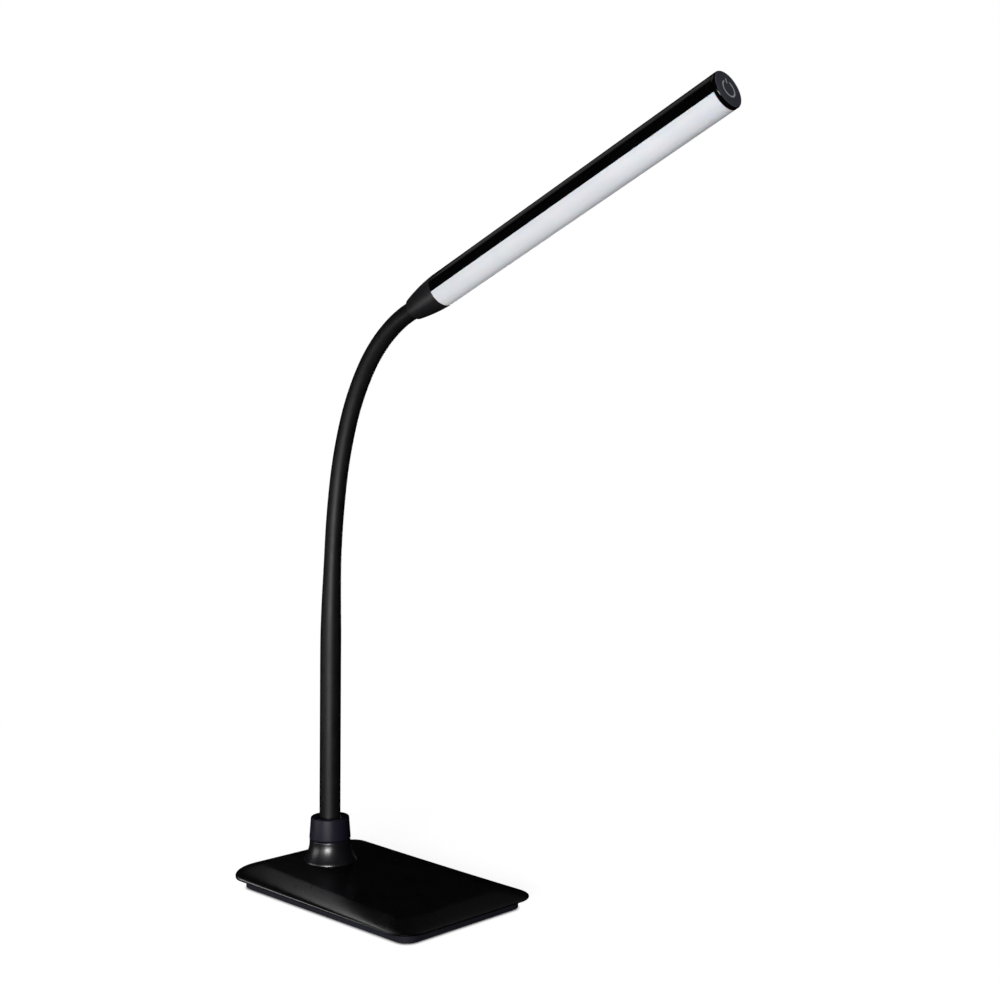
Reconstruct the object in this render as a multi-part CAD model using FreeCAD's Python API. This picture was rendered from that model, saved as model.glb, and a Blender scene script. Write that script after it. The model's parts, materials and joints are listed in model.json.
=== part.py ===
import FreeCAD, Part
import math
import os

# Gooseneck desk lamp with a bar-shaped LED head. Millimetres, +Z up.
# The origin is the centre of the base's underside. +X points to the side the head leans over.
V = FreeCAD.Vector
UP = V(0, 0, 1)
FORWARD = V(1, 0, 0)
LEFT = V(0, 1, 0)
ORIGIN = V(0, 0, 0)

# Clearances
SLIP = 0.05            # round parts that go into one another within one body
SLOT_PLAY = 0.1        # flat parts that slide into a slot or a recess
LEG_PLAY = 0.15        # the covered neck in the rings it passes through
BALL_GAP = 0.3         # between the neck pieces on either side of a joint

# Base: plinth and foot pad
PLINTH_LENGTH = 150.0
PLINTH_WIDTH = 91.0
PLINTH_CORNER = 8.3
PLINTH_HEIGHT = 5.85
PLINTH_WALL = 2.2
PLINTH_FLOOR = 2.5
PLINTH_EDGE = 0.4
PAD_THICKNESS = 1.5
PAD_PROUD = 0.5
PAD_MARGIN = 4.0

# Base: cover
COVER_OVERHANG = 6.25
COVER_WALL = 2.2
COVER_SEAT = 1.0       # width of the plinth's wall top that the cover stands on
RIM_HEIGHT = 0.65
RIM_EDGE = 0.3
COVER_BACK_TOP = 15.1  # height of the top face carried on to the back edge
COVER_FRONT_TOP = 9.1  # the same at the front edge
SHOULDER_SIDE = 14.3
SHOULDER_BACK = 13.0
SHOULDER_FRONT = 19.0
SIDE_ROUNDNESS = 2.0
BACK_ROUNDNESS = 2.5
FRONT_ROUNDNESS = 1.8
TOP_CORNER = 7.0
SHOULDER_STEPS = 7

# Base: boss, collar and the fixing of the neck
NECK_X = -45.9
BOSS_TOP = 26.7
BOSS_TOP_RADIUS = 12.5
BOSS_WAIST_RADIUS = 13.3
BOSS_FOOT_RADIUS = 16.3
BOSS_WEB = 5.0
BOSS_ROOM_RADIUS = 10.2
COLLAR_HEIGHT = 13.5
COLLAR_BOTTOM_RADIUS = 12.7
COLLAR_TOP_RADIUS = 11.7
COLLAR_ROOF = 2.2
COLLAR_ROOM_RADIUS = 8.8
COLLAR_EDGE = 0.6
FERRULE_FLANGE_RADIUS = 8.3
FERRULE_FLANGE = 2.0
FERRULE_CUP_WALL = 1.5
FERRULE_CUP_DEPTH = 7.5
FERRULE_TAIL_RADIUS = 5.0
FERRULE_TAIL_SPARE = 1.5
NUT_FLATS = 16.0
NUT_THICKNESS = 5.0
WASHER_THICKNESS = 1.0
WASHER_RADIUS = 8.6

# Base: screws and ballast
SCREW_FROM_END = 17.0
SCREW_FROM_SIDE = 11.5
SCREW_RADIUS = 1.3
SCREW_LENGTH = 5.0
SCREW_HEAD_RADIUS = 2.5
SCREW_HEAD = 1.5
SCREW_SINK = 0.1       # head below the roof of the pad's recess
SCREW_SKIN = 2.0       # plinth under the cover's post
BOSS_RADIUS = 4.0
POST_RADIUS = 3.2
BALLAST_THICKNESS = 4.0
BALLAST_MARGIN = 5.3   # between the plate and the inside of the plinth's long walls
BALLAST_FRONT_MARGIN = 8.8
BALLAST_CORNER = 3.0
BALLAST_SCREW_BACK_INSET = 10.0
BALLAST_SCREW_FRONT_INSET = 26.0   # the cover is too low for a screw head nearer the front
BALLAST_SCREW_SIDE_INSET = 14.0
BALLAST_BOSS_RADIUS = 2.6
BALLAST_BOSS_SHY = 0.4
SMALL_SCREW_RADIUS = 1.1
SMALL_SCREW_LENGTH = 3.4
SMALL_HEAD_RADIUS = 3.4
SMALL_HEAD = 1.0

# Base: power board and cord outlet
BOARD_THICKNESS = 1.6
BOARD_FROM_WALL = 8.8
BOARD_PAST_NECK = 4.9
BOARD_TO_BALLAST = 3.0
BOARD_WIDTH = 28.0
BOARD_STANDOFF = 2.0
BOARD_POST_RADIUS = 2.4
BOARD_SCREW_INSET = 3.3
TINY_HEAD_RADIUS = 2.0
TINY_SCREW_LENGTH = 3.2
CORD_HEIGHT = 3.9
CORD_BORE_RADIUS = 1.4
GROMMET_BODY_RADIUS = 2.1
GROMMET_FLANGE_RADIUS = 2.35
GROMMET_FLANGE = 1.2
CLAMP_FROM_WALL = 5.3
CLAMP_LENGTH = 5.0
CLAMP_WIDTH = 15.0
CLAMP_THICKNESS = 1.6
CLAMP_SCREW_Y = 5.2
CLAMP_BOSS_HEIGHT = 1.4
CLAMP_BITE = 0.1       # how far the clamp's slot is lower than the cord's bore

# Neck
NECK_LENGTH = 332.2    # collar top to the mouth of the head's connector
NECK_TAIL = 6.0        # straight stretch in front of that mouth
NECK_EASE = 4.25       # how late the bend comes: 1 is an even bend
NECK_LEAN = 0.58       # degrees off upright at the foot
HEAD_TILT = 20.9       # degrees that the head points above level
FIRST_JOINT = 18.0     # collar top to the first joint
LAST_JOINT = 16.0      # last joint to the connector's mouth
JOINTS = 9
LEAST_BEND = 0.5       # degrees: a piece that bends less is straight
HOSE_RADIUS = 3.9
HOSE_BORE = 2.0
SLEEVE_FOOT_RADIUS = 6.4
SLEEVE_HEAD_RADIUS = 5.3
TAPER_START = 105.0
TAPER_END = 165.0
LEAD_RADIUS = 1.5
BALL_OVERSIZE = 1.0
BEND_RANGE = (-24.0, 11.0)
SIDE_RANGE = (-20.0, 20.0)

# Head, in its own axes: x from the connector's mouth to the tip, z up
HEAD_RADIUS = 9.72
CONNECTOR_LENGTH = 24.5
CONNECTOR_MOUTH_RADIUS = 6.5
CONNECTOR_WAIST_RADIUS = 8.7
CONNECTOR_LIP = 0.7
TUBE_LENGTH = 202.3
CAP_LENGTH = 2.75
CAP_EDGE = 1.1
SHELL_WALL = 1.3
DIFFUSER_WALL = 1.2
DIFFUSER_HALF_ANGLE = 76.6
DIFFUSER_GAP = 0.05
SHELF_BOTTOM = 0.8
SHELF_THICKNESS = 1.2
RAIL_THICKNESS = 1.0
RAIL_REACH = 6.9
SHELF_SHY = 6.0        # shelf and light board end this far before the cap
LIGHT_BOARD_THICKNESS = 1.0
LIGHT_BOARD_WIDTH = 15.2
LED_COUNT = 24
LED_LENGTH = 3.5
LED_WIDTH = 2.8
LED_HEIGHT = 0.7
SPIGOT_LENGTH = 6.0
SPIGOT_WALL = 1.5
SPIGOT_PLAY = 0.05
HEAD_CUP_WALL = 1.1
HEAD_CUP_START = 2.4
HEAD_CUP_DEPTH = 7.0
HEAD_WEB = 3.0
HEAD_TAIL_RADIUS = 3.9
HEAD_NUT_FLATS = 11.0
HEAD_NUT_THICKNESS = 3.5
HEAD_WASHER_THICKNESS = 0.8
HEAD_WASHER_RADIUS = 6.0
HEAD_TAIL_SPARE = 1.0
CONNECTOR_ROOM_RADIUS = 7.2
CAP_ROOM_STEP = 0.5    # the touch board's room is this much wider than the cap's ring
TOUCH_BOARD_THICKNESS = 1.0
TOUCH_CHIP = (1.0, 4.0, 4.0)
TOUCH_CHIP_LIFT = 4.0
RIBBON_WIDTH = 5.0
RIBBON_THICKNESS = 0.6
SYMBOL_RADIUS = 4.2
SYMBOL_LINE = 0.85
SYMBOL_DEPTH = 0.2
SYMBOL_GAP = 34.0      # half angle of the ring's opening, degrees
SYMBOL_BAR = (2.7, 5.5)

# Worked out from the sizes above
PLINTH_BOTTOM = PAD_PROUD
SEAM = PLINTH_BOTTOM + PLINTH_HEIGHT
FLOOR_TOP = PLINTH_BOTTOM + PLINTH_FLOOR
RIM_TOP = SEAM + RIM_HEIGHT
HALF_LENGTH = PLINTH_LENGTH / 2
HALF_WIDTH = PLINTH_WIDTH / 2
COVER_HALF_LENGTH = HALF_LENGTH + COVER_OVERHANG
COVER_HALF_WIDTH = HALF_WIDTH + COVER_OVERHANG
COLLAR_TOP = BOSS_TOP + COLLAR_HEIGHT
CUP_FLOOR = BOSS_TOP + FERRULE_FLANGE + 1.0
CUP_TOP = CUP_FLOOR + FERRULE_CUP_DEPTH
WEB_UNDERSIDE = BOSS_TOP - BOSS_WEB
WALL_INSIDE = HALF_LENGTH - PLINTH_WALL
SCREW_X = HALF_LENGTH - SCREW_FROM_END
SCREW_Y = HALF_WIDTH - SCREW_FROM_SIDE
CLAMP_X = CLAMP_FROM_WALL - WALL_INSIDE
BOARD_BACK = BOARD_FROM_WALL - WALL_INSIDE
BOARD_FRONT = NECK_X + BOARD_PAST_NECK
BALLAST_TOP = FLOOR_TOP + BALLAST_THICKNESS
BALLAST_BACK = BOARD_FRONT + BOARD_TO_BALLAST
BALLAST_FRONT = WALL_INSIDE - BALLAST_FRONT_MARGIN
BALLAST_HALF = HALF_WIDTH - PLINTH_WALL - BALLAST_MARGIN
BALLAST_SCREWS_X = (BALLAST_BACK + BALLAST_SCREW_BACK_INSET, BALLAST_FRONT - BALLAST_SCREW_FRONT_INSET)
BALLAST_SCREW_Y = BALLAST_HALF - BALLAST_SCREW_SIDE_INSET
BOARD_SCREWS_X = (BOARD_BACK + BOARD_SCREW_INSET, BOARD_FRONT - BOARD_SCREW_INSET)
BOARD_SCREW_Y = BOARD_WIDTH / 2 - BOARD_SCREW_INSET
BOARD_BOTTOM = FLOOR_TOP + BOARD_STANDOFF
BOARD_TOP = BOARD_BOTTOM + BOARD_THICKNESS
SHELF_END = CONNECTOR_LENGTH + TUBE_LENGTH - SHELF_SHY
TUBE_END = CONNECTOR_LENGTH + TUBE_LENGTH
HEAD_LENGTH = TUBE_END + CAP_LENGTH
BORE_RADIUS = HEAD_RADIUS - SHELL_WALL
CAP_ROOM_RADIUS = BORE_RADIUS - SPIGOT_PLAY - SPIGOT_WALL + CAP_ROOM_STEP
LIGHT_BOARD_TOP = SHELF_BOTTOM - SLIP
LIGHT_BOARD_BOTTOM = LIGHT_BOARD_TOP - LIGHT_BOARD_THICKNESS
RAIL_TOP = LIGHT_BOARD_BOTTOM - SLOT_PLAY
RAIL_BOTTOM = RAIL_TOP - RAIL_THICKNESS
HEAD_CUP_FLOOR = HEAD_CUP_START + HEAD_CUP_DEPTH
HEAD_WEB_START = HEAD_CUP_FLOOR + 1.0
HEAD_WEB_END = HEAD_WEB_START + HEAD_WEB
NUT_START = HEAD_WEB_END + HEAD_WASHER_THICKNESS
HEAD_TAIL_END = NUT_START + HEAD_NUT_THICKNESS + HEAD_TAIL_SPARE


def cylinder(radius, start, end, x=0.0, y=0.0):
    """An upright cylinder between two heights."""
    return Part.makeCylinder(radius, end - start, V(x, y, start))


def ring(outer, inner, start, end, x=0.0, y=0.0):
    """An upright tube between two heights."""
    return cylinder(outer, start, end, x, y).cut(cylinder(inner, start - 1, end + 1, x, y))


def block(x0, x1, y0, y1, z0, z1):
    """A box between two corners."""
    return Part.makeBox(x1 - x0, y1 - y0, z1 - z0, V(x0, y0, z0))


def hexagon(flats, start, end, x=0.0, y=0.0):
    """An upright hexagonal bar between two heights."""
    radius = flats / math.sqrt(3)
    turns = [math.radians(60 * k) for k in range(7)]
    outline = Part.makePolygon([V(x + radius * math.cos(t), y + radius * math.sin(t), start) for t in turns])
    return Part.Face(outline).extrude(V(0, 0, end - start))


def rounded_wire(x0, x1, half, corner):
    """A rounded rectangle in the ground plane, from x0 to x1 and half to each side."""
    centres = ((x1 - corner, half - corner, 0), (x0 + corner, half - corner, 90),
               (x0 + corner, corner - half, 180), (x1 - corner, corner - half, 270))
    edges = []
    for cx, cy, start in centres:
        arc = [V(cx + corner * math.cos(math.radians(start + turn)),
                 cy + corner * math.sin(math.radians(start + turn)), 0) for turn in (0, 45, 90)]
        if edges:
            edges.append(Part.LineSegment(last, arc[0]).toShape())
        else:
            first = arc[0]
        edges.append(Part.Arc(*arc).toShape())
        last = arc[2]
    edges.append(Part.LineSegment(last, first).toShape())
    return Part.Wire(edges)


def slab(x0, x1, half, corner, z0, z1):
    """A rounded rectangular slab between two heights."""
    face = Part.Face(rounded_wire(x0, x1, half, corner))
    face.translate(V(0, 0, z0))
    return face.extrude(V(0, 0, z1 - z0))


def plinth_slab(inset, z0, z1):
    """A slab with the plinth's outline, drawn in by a distance."""
    return slab(inset - HALF_LENGTH, HALF_LENGTH - inset, HALF_WIDTH - inset,
                PLINTH_CORNER - min(inset, PLINTH_CORNER - 1), z0, z1)


def edges_at(shape, height):
    """The edges of a shape that lie flat at one height."""
    return [e for e in shape.Edges
            if abs(e.BoundBox.ZMin - height) < 1e-4 and abs(e.BoundBox.ZMax - height) < 1e-4]


def joined(first, *others):
    """One solid from pieces that meet."""
    return first.fuse(list(others)).removeSplitter()


def cover_top(x):
    """Height of the cover's sloping top face at a place along the base."""
    share = (x + COVER_HALF_LENGTH) / (2 * COVER_HALF_LENGTH)
    return COVER_BACK_TOP + (COVER_FRONT_TOP - COVER_BACK_TOP) * share


def dome(shrink):
    """The cover's form above its rim, drawn in and down by the same distance."""
    middle = cover_top(0) - RIM_TOP
    fall = (COVER_BACK_TOP - COVER_FRONT_TOP) / (2 * COVER_HALF_LENGTH)
    rim_corner = PLINTH_CORNER + COVER_OVERHANG
    wires = []
    for step in range(SHOULDER_STEPS):
        rise = math.sin(math.pi / 2 * step / (SHOULDER_STEPS - 1))
        back = -COVER_HALF_LENGTH + shrink + SHOULDER_BACK * rise ** BACK_ROUNDNESS
        front = COVER_HALF_LENGTH - shrink - SHOULDER_FRONT * rise ** FRONT_ROUNDNESS
        side = COVER_HALF_WIDTH - shrink - SHOULDER_SIDE * rise ** SIDE_ROUNDNESS
        corner = rim_corner + (TOP_CORNER - rim_corner) * rise - shrink
        wire = rounded_wire(back, front, side, corner)
        wire.rotate(ORIGIN, LEFT, math.degrees(math.atan(rise * fall)))
        wire.translate(V(0, 0, RIM_TOP - shrink + rise * middle))
        wires.append(wire)
    return Part.makeLoft(wires, True, False)


def corners(x, y):
    """Four places, one in each quarter of the base."""
    return [(sx * x, sy * y) for sx in (-1, 1) for sy in (-1, 1)]


def pairs(places, y):
    """Two places, one each side of the middle, at each distance along the base."""
    return [(x, side * y) for x in places for side in (-1, 1)]


def boss_form():
    """The flared boss on the cover that carries the collar."""
    foot = cover_top(NECK_X) - COVER_WALL / 2
    waist = (cover_top(NECK_X) + BOSS_TOP) / 2
    flare = Part.Arc(V(BOSS_FOOT_RADIUS, 0, cover_top(NECK_X)), V(BOSS_WAIST_RADIUS, 0, waist),
                     V(BOSS_TOP_RADIUS, 0, BOSS_TOP)).toShape()
    rest = Part.makePolygon([V(BOSS_TOP_RADIUS, 0, BOSS_TOP), V(0, 0, BOSS_TOP), V(0, 0, foot),
                             V(BOSS_FOOT_RADIUS, 0, foot), V(BOSS_FOOT_RADIUS, 0, cover_top(NECK_X))])
    form = Part.Face(Part.Wire([flare] + rest.Edges)).revolve(ORIGIN, UP, 360)
    form.translate(V(NECK_X, 0, 0))
    return form


def screw_seat():
    """Height of the seat of a base screw's head."""
    return PLINTH_BOTTOM + PAD_THICKNESS - PAD_PROUD + SCREW_SINK + SCREW_HEAD


def base_cover():
    """Upper shell of the base: sloping top, broad shoulders, boss and four screw posts."""
    rim = slab(-COVER_HALF_LENGTH, COVER_HALF_LENGTH, COVER_HALF_WIDTH, PLINTH_CORNER + COVER_OVERHANG,
               SEAM, RIM_TOP)
    rim = rim.makeChamfer(RIM_EDGE, edges_at(rim, SEAM))
    outer = rim.fuse([dome(0), boss_form()])
    room = dome(COVER_WALL).common(plinth_slab(COVER_SEAT, SEAM - 1, BOSS_TOP))
    room = room.fuse(cylinder(BOSS_ROOM_RADIUS, SEAM, WEB_UNDERSIDE, NECK_X))
    shell = outer.cut(room)
    post_foot = screw_seat() + SCREW_SKIN
    posts = [cylinder(POST_RADIUS, post_foot, cover_top(x) - COVER_WALL / 2, x, y)
             for x, y in corners(SCREW_X, SCREW_Y)]
    shell = shell.fuse(posts)
    tip = screw_seat() + SCREW_LENGTH + SLIP
    holes = [cylinder(SCREW_RADIUS + SLIP, post_foot - 1, tip, x, y) for x, y in corners(SCREW_X, SCREW_Y)]
    holes.append(cylinder(FERRULE_TAIL_RADIUS + SLIP, SEAM, BOSS_TOP + 1, NECK_X))
    return shell.cut(holes).removeSplitter()


def base_plinth():
    """Tray under the cover: floor, low wall, screw bosses, board posts and the cord's notch."""
    tray = plinth_slab(0, PLINTH_BOTTOM, SEAM)
    tray = tray.makeChamfer(PLINTH_EDGE, edges_at(tray, PLINTH_BOTTOM))
    tray = tray.cut(plinth_slab(PLINTH_WALL, FLOOR_TOP, SEAM + 1))
    boss_top = screw_seat() + SCREW_SKIN
    adds = [cylinder(BOSS_RADIUS, PLINTH_BOTTOM + 1, boss_top, x, y) for x, y in corners(SCREW_X, SCREW_Y)]
    adds += [cylinder(BALLAST_BOSS_RADIUS, FLOOR_TOP - 1, BALLAST_TOP - BALLAST_BOSS_SHY, x, y)
             for x, y in pairs(BALLAST_SCREWS_X, BALLAST_SCREW_Y)]
    adds += [cylinder(BOARD_POST_RADIUS, FLOOR_TOP - 1, BOARD_BOTTOM, x, y)
             for x, y in pairs(BOARD_SCREWS_X, BOARD_SCREW_Y)]
    adds += [cylinder(TINY_HEAD_RADIUS, FLOOR_TOP - 1, FLOOR_TOP + CLAMP_BOSS_HEIGHT, x, y)
             for x, y in pairs((CLAMP_X,), CLAMP_SCREW_Y)]
    tray = tray.fuse(adds)
    cuts = [plinth_slab(PAD_MARGIN, PLINTH_BOTTOM - 1, PLINTH_BOTTOM + PAD_THICKNESS - PAD_PROUD)]
    for x, y in corners(SCREW_X, SCREW_Y):
        cuts.append(cylinder(SCREW_HEAD_RADIUS + SLOT_PLAY, PLINTH_BOTTOM, screw_seat(), x, y))
        cuts.append(cylinder(SCREW_RADIUS + SLIP, PLINTH_BOTTOM, boss_top + 1, x, y))
    for x, y in pairs(BALLAST_SCREWS_X, BALLAST_SCREW_Y):
        cuts.append(cylinder(SMALL_SCREW_RADIUS + SLIP, BALLAST_TOP - SMALL_SCREW_LENGTH, BALLAST_TOP, x, y))
    for x, y in pairs(BOARD_SCREWS_X, BOARD_SCREW_Y):
        cuts.append(cylinder(SMALL_SCREW_RADIUS + SLIP, BOARD_TOP - TINY_SCREW_LENGTH, BOARD_TOP, x, y))
    for x, y in pairs((CLAMP_X,), CLAMP_SCREW_Y):
        cuts.append(cylinder(SMALL_SCREW_RADIUS + SLIP, clamp_top() - TINY_SCREW_LENGTH, clamp_top(), x, y))
    half = CORD_BORE_RADIUS + SLOT_PLAY
    cuts.append(block(-WALL_INSIDE, CLAMP_X + CLAMP_LENGTH, -half, half, CORD_HEIGHT - half, SEAM + 1))
    cuts.append(cord_cylinder(GROMMET_BODY_RADIUS + SLIP, -HALF_LENGTH - 1, 1 - WALL_INSIDE))
    cuts.append(cord_cylinder(GROMMET_FLANGE_RADIUS + SLOT_PLAY, -WALL_INSIDE,
                              GROMMET_FLANGE + SLOT_PLAY - WALL_INSIDE))
    return tray.cut(cuts).removeSplitter()


def foot_pad():
    """Anti-slip foam sheet in the recess of the plinth's underside."""
    return plinth_slab(PAD_MARGIN + SLOT_PLAY, 0, PAD_THICKNESS)


def pan_screw(x, y, seat, head_radius, head, radius, length, points_up):
    """A screw with a flat head, its shank up or down from the seat of its head."""
    way = 1 if points_up else -1
    top = Part.makeCylinder(head_radius, head, V(x, y, seat), UP * -way)
    top = top.makeChamfer(head / 3, [e for e in top.Edges if abs(e.BoundBox.ZMin - (seat - way * head)) < 1e-4
                                     and abs(e.BoundBox.ZMax - (seat - way * head)) < 1e-4])
    return joined(top, Part.makeCylinder(radius, length, V(x, y, seat), UP * way))


def base_screws():
    """Four screws from below through the plinth into the cover's posts."""
    return Part.makeCompound([pan_screw(x, y, screw_seat(), SCREW_HEAD_RADIUS, SCREW_HEAD, SCREW_RADIUS,
                                        SCREW_LENGTH, True) for x, y in corners(SCREW_X, SCREW_Y)])


def ballast_plate():
    """Steel plate on the plinth's floor that keeps the lamp upright."""
    plate = slab(BALLAST_BACK, BALLAST_FRONT, BALLAST_HALF, BALLAST_CORNER, FLOOR_TOP, BALLAST_TOP)
    cuts = [cylinder(BOSS_RADIUS + 4 * SLOT_PLAY, FLOOR_TOP - 1, BALLAST_TOP + 1, x, y)
            for x, y in corners(SCREW_X, SCREW_Y)]
    cuts += [cylinder(BALLAST_BOSS_RADIUS + SLOT_PLAY, FLOOR_TOP - 1, BALLAST_TOP + 1, x, y)
             for x, y in pairs(BALLAST_SCREWS_X, BALLAST_SCREW_Y)]
    return plate.cut(cuts)


def ballast_screws():
    """Four washer-head screws that hold the steel plate down."""
    return Part.makeCompound([pan_screw(x, y, BALLAST_TOP, SMALL_HEAD_RADIUS, SMALL_HEAD, SMALL_SCREW_RADIUS,
                                        SMALL_SCREW_LENGTH - SLOT_PLAY, False)
                              for x, y in pairs(BALLAST_SCREWS_X, BALLAST_SCREW_Y)])


def cord_cylinder(radius, x0, x1):
    """A cylinder along the cord's way in through the back wall."""
    return Part.makeCylinder(radius, x1 - x0, V(x0, 0, CORD_HEIGHT), FORWARD)


def cord_grommet():
    """Rubber bush in the back wall that guides the supply cord."""
    start = -HALF_LENGTH - GROMMET_FLANGE
    end = GROMMET_FLANGE - WALL_INSIDE
    bush = joined(cord_cylinder(GROMMET_BODY_RADIUS, start, end),
                  cord_cylinder(GROMMET_FLANGE_RADIUS, start, -HALF_LENGTH),
                  cord_cylinder(GROMMET_FLANGE_RADIUS, -WALL_INSIDE, end))
    return bush.cut(cord_cylinder(CORD_BORE_RADIUS, start - 1, end + 1))


def clamp_top():
    """Height of the top of the cord clamp."""
    return FLOOR_TOP + CLAMP_BOSS_HEIGHT + CLAMP_THICKNESS


def cord_clamp():
    """Saddle that holds the cord down inside the base."""
    x0 = CLAMP_X - CLAMP_LENGTH / 2
    foot = clamp_top() - CLAMP_THICKNESS
    bar = block(x0, x0 + CLAMP_LENGTH, -CLAMP_WIDTH / 2, CLAMP_WIDTH / 2, foot, clamp_top())
    half = CORD_BORE_RADIUS + SLOT_PLAY
    roof = CORD_HEIGHT + CORD_BORE_RADIUS - CLAMP_BITE
    cuts = [block(x0 - 1, x0 + CLAMP_LENGTH + 1, -half, half, foot - 1, roof)]
    cuts += [cylinder(SMALL_SCREW_RADIUS + SLIP, FLOOR_TOP, clamp_top() + 1, x, y)
             for x, y in pairs((CLAMP_X,), CLAMP_SCREW_Y)]
    return bar.cut(cuts)


def clamp_screws():
    """Two screws through the cord clamp."""
    return Part.makeCompound([pan_screw(x, y, clamp_top(), TINY_HEAD_RADIUS, SMALL_HEAD, SMALL_SCREW_RADIUS,
                                        TINY_SCREW_LENGTH - SLOT_PLAY, False)
                              for x, y in pairs((CLAMP_X,), CLAMP_SCREW_Y)])


def power_board():
    """Circuit board where the supply cord ends and the neck's lead begins."""
    board = block(BOARD_BACK, BOARD_FRONT, -BOARD_WIDTH / 2, BOARD_WIDTH / 2, BOARD_BOTTOM, BOARD_TOP)
    return board.cut([cylinder(SMALL_SCREW_RADIUS + SLIP, BOARD_BOTTOM - 1, BOARD_TOP + 1, x, y)
                      for x, y in pairs(BOARD_SCREWS_X, BOARD_SCREW_Y)])


def board_screws():
    """Four screws that hold the power board."""
    return Part.makeCompound([pan_screw(x, y, BOARD_TOP, TINY_HEAD_RADIUS, SMALL_HEAD, SMALL_SCREW_RADIUS,
                                        TINY_SCREW_LENGTH - SLOT_PLAY, False)
                              for x, y in pairs(BOARD_SCREWS_X, BOARD_SCREW_Y)])


def board_parts():
    """Coil, capacitor, driver chip and cord terminals on the power board."""
    coil = cylinder(3.0, BOARD_TOP, BOARD_TOP + 3.0, BOARD_BACK + 9, 6.0)
    capacitor = cylinder(2.0, BOARD_TOP, BOARD_TOP + 4.0, BOARD_BACK + 9, -6.5)
    chip = block(BOARD_BACK + 7, BOARD_BACK + 12, -2.0, 2.0, BOARD_TOP, BOARD_TOP + 1.2)
    terminals = block(BOARD_BACK + 0.5, BOARD_BACK + 4.5, -3.6, 3.6, BOARD_TOP, BOARD_TOP + 3.0)
    return Part.makeCompound([coil, capacitor, chip, terminals])


def neck_collar():
    """Trim collar on the boss that hides the neck's end fitting."""
    form = Part.makeCone(COLLAR_BOTTOM_RADIUS, COLLAR_TOP_RADIUS, COLLAR_HEIGHT, V(NECK_X, 0, BOSS_TOP))
    form = form.makeFillet(COLLAR_EDGE, edges_at(form, COLLAR_TOP))
    room = cylinder(COLLAR_ROOM_RADIUS, BOSS_TOP - 1, COLLAR_TOP - COLLAR_ROOF, NECK_X)
    return form.cut([room, cylinder(SLEEVE_FOOT_RADIUS + LEG_PLAY, BOSS_TOP, COLLAR_TOP + 1, NECK_X)])


def lower_ferrule():
    """Steel end fitting: cup for the hose, flange on the boss and threaded tail through it."""
    tail_end = WEB_UNDERSIDE - WASHER_THICKNESS - NUT_THICKNESS - FERRULE_TAIL_SPARE
    flange = cylinder(FERRULE_FLANGE_RADIUS, BOSS_TOP, BOSS_TOP + FERRULE_FLANGE, NECK_X)
    cup = cylinder(HOSE_RADIUS + FERRULE_CUP_WALL, BOSS_TOP, CUP_TOP, NECK_X)
    tail = cylinder(FERRULE_TAIL_RADIUS, tail_end, BOSS_TOP, NECK_X)
    body = joined(flange, cup, tail)
    return body.cut([cylinder(HOSE_RADIUS + SLIP, CUP_FLOOR, CUP_TOP + 1, NECK_X),
                     cylinder(HOSE_BORE, tail_end - 1, CUP_TOP, NECK_X)])


def ferrule_washer():
    """Washer under the boss's web."""
    return ring(WASHER_RADIUS, FERRULE_TAIL_RADIUS + SLIP,
                WEB_UNDERSIDE - WASHER_THICKNESS, WEB_UNDERSIDE, NECK_X)


def ferrule_nut():
    """Nut that pulls the neck's end fitting down on the boss."""
    top = WEB_UNDERSIDE - WASHER_THICKNESS
    nut = hexagon(NUT_FLATS, top - NUT_THICKNESS, top, NECK_X)
    return nut.cut(cylinder(FERRULE_TAIL_RADIUS + SLIP, top - NUT_THICKNESS - 1, top + 1, NECK_X))


def sleeve_radius(run):
    """Outer radius of the neck's sleeve at a distance along the neck."""
    share = min(1.0, max(0.0, (run - TAPER_START) / (TAPER_END - TAPER_START)))
    return SLEEVE_FOOT_RADIUS + (SLEEVE_HEAD_RADIUS - SLEEVE_FOOT_RADIUS) * share


class NeckPiece:
    """One stretch of the neck: an arc, or a straight run, between two places on its line."""

    def __init__(self, number, point, lean, run, length, bend):
        self.number = number
        self.start = point
        self.lean = lean
        self.length = length
        self.bend = bend
        self.radius = sleeve_radius(run + length / 2)

    def along(self, lean):
        """Direction of the neck's line at a lean from upright, in radians."""
        return V(math.sin(lean), 0, math.cos(lean))

    def hub(self):
        """Centre of the piece's arc."""
        reach = self.length / self.bend
        return self.start + V(math.cos(self.lean), 0, -math.sin(self.lean)) * reach

    def end(self):
        """Last point of the piece's line."""
        if self.bend == 0:
            return self.start + self.along(self.lean) * self.length
        spoke = self.start - self.hub()
        turn = FreeCAD.Rotation(LEFT, math.degrees(self.bend))
        return self.hub() + turn.multVec(spoke)

    def rod(self, radius, before, after):
        """Solid round bar along the piece, with a straight run added at either end."""
        if self.bend == 0:
            bar = Part.makeCylinder(radius, self.length, self.start, self.along(self.lean))
        else:
            rim = Part.Wire(Part.Circle(self.start, self.along(self.lean), radius).toShape())
            bar = Part.Face(rim).revolve(self.hub(), LEFT, math.degrees(self.bend))
        parts = []
        if before > 0:
            way = self.along(self.lean)
            parts.append(Part.makeCylinder(radius, before, self.start - way * before, way))
        if after > 0:
            parts.append(Part.makeCylinder(radius, after, self.end(), self.along(self.lean + self.bend)))
        return joined(bar, *parts) if parts else bar


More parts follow.
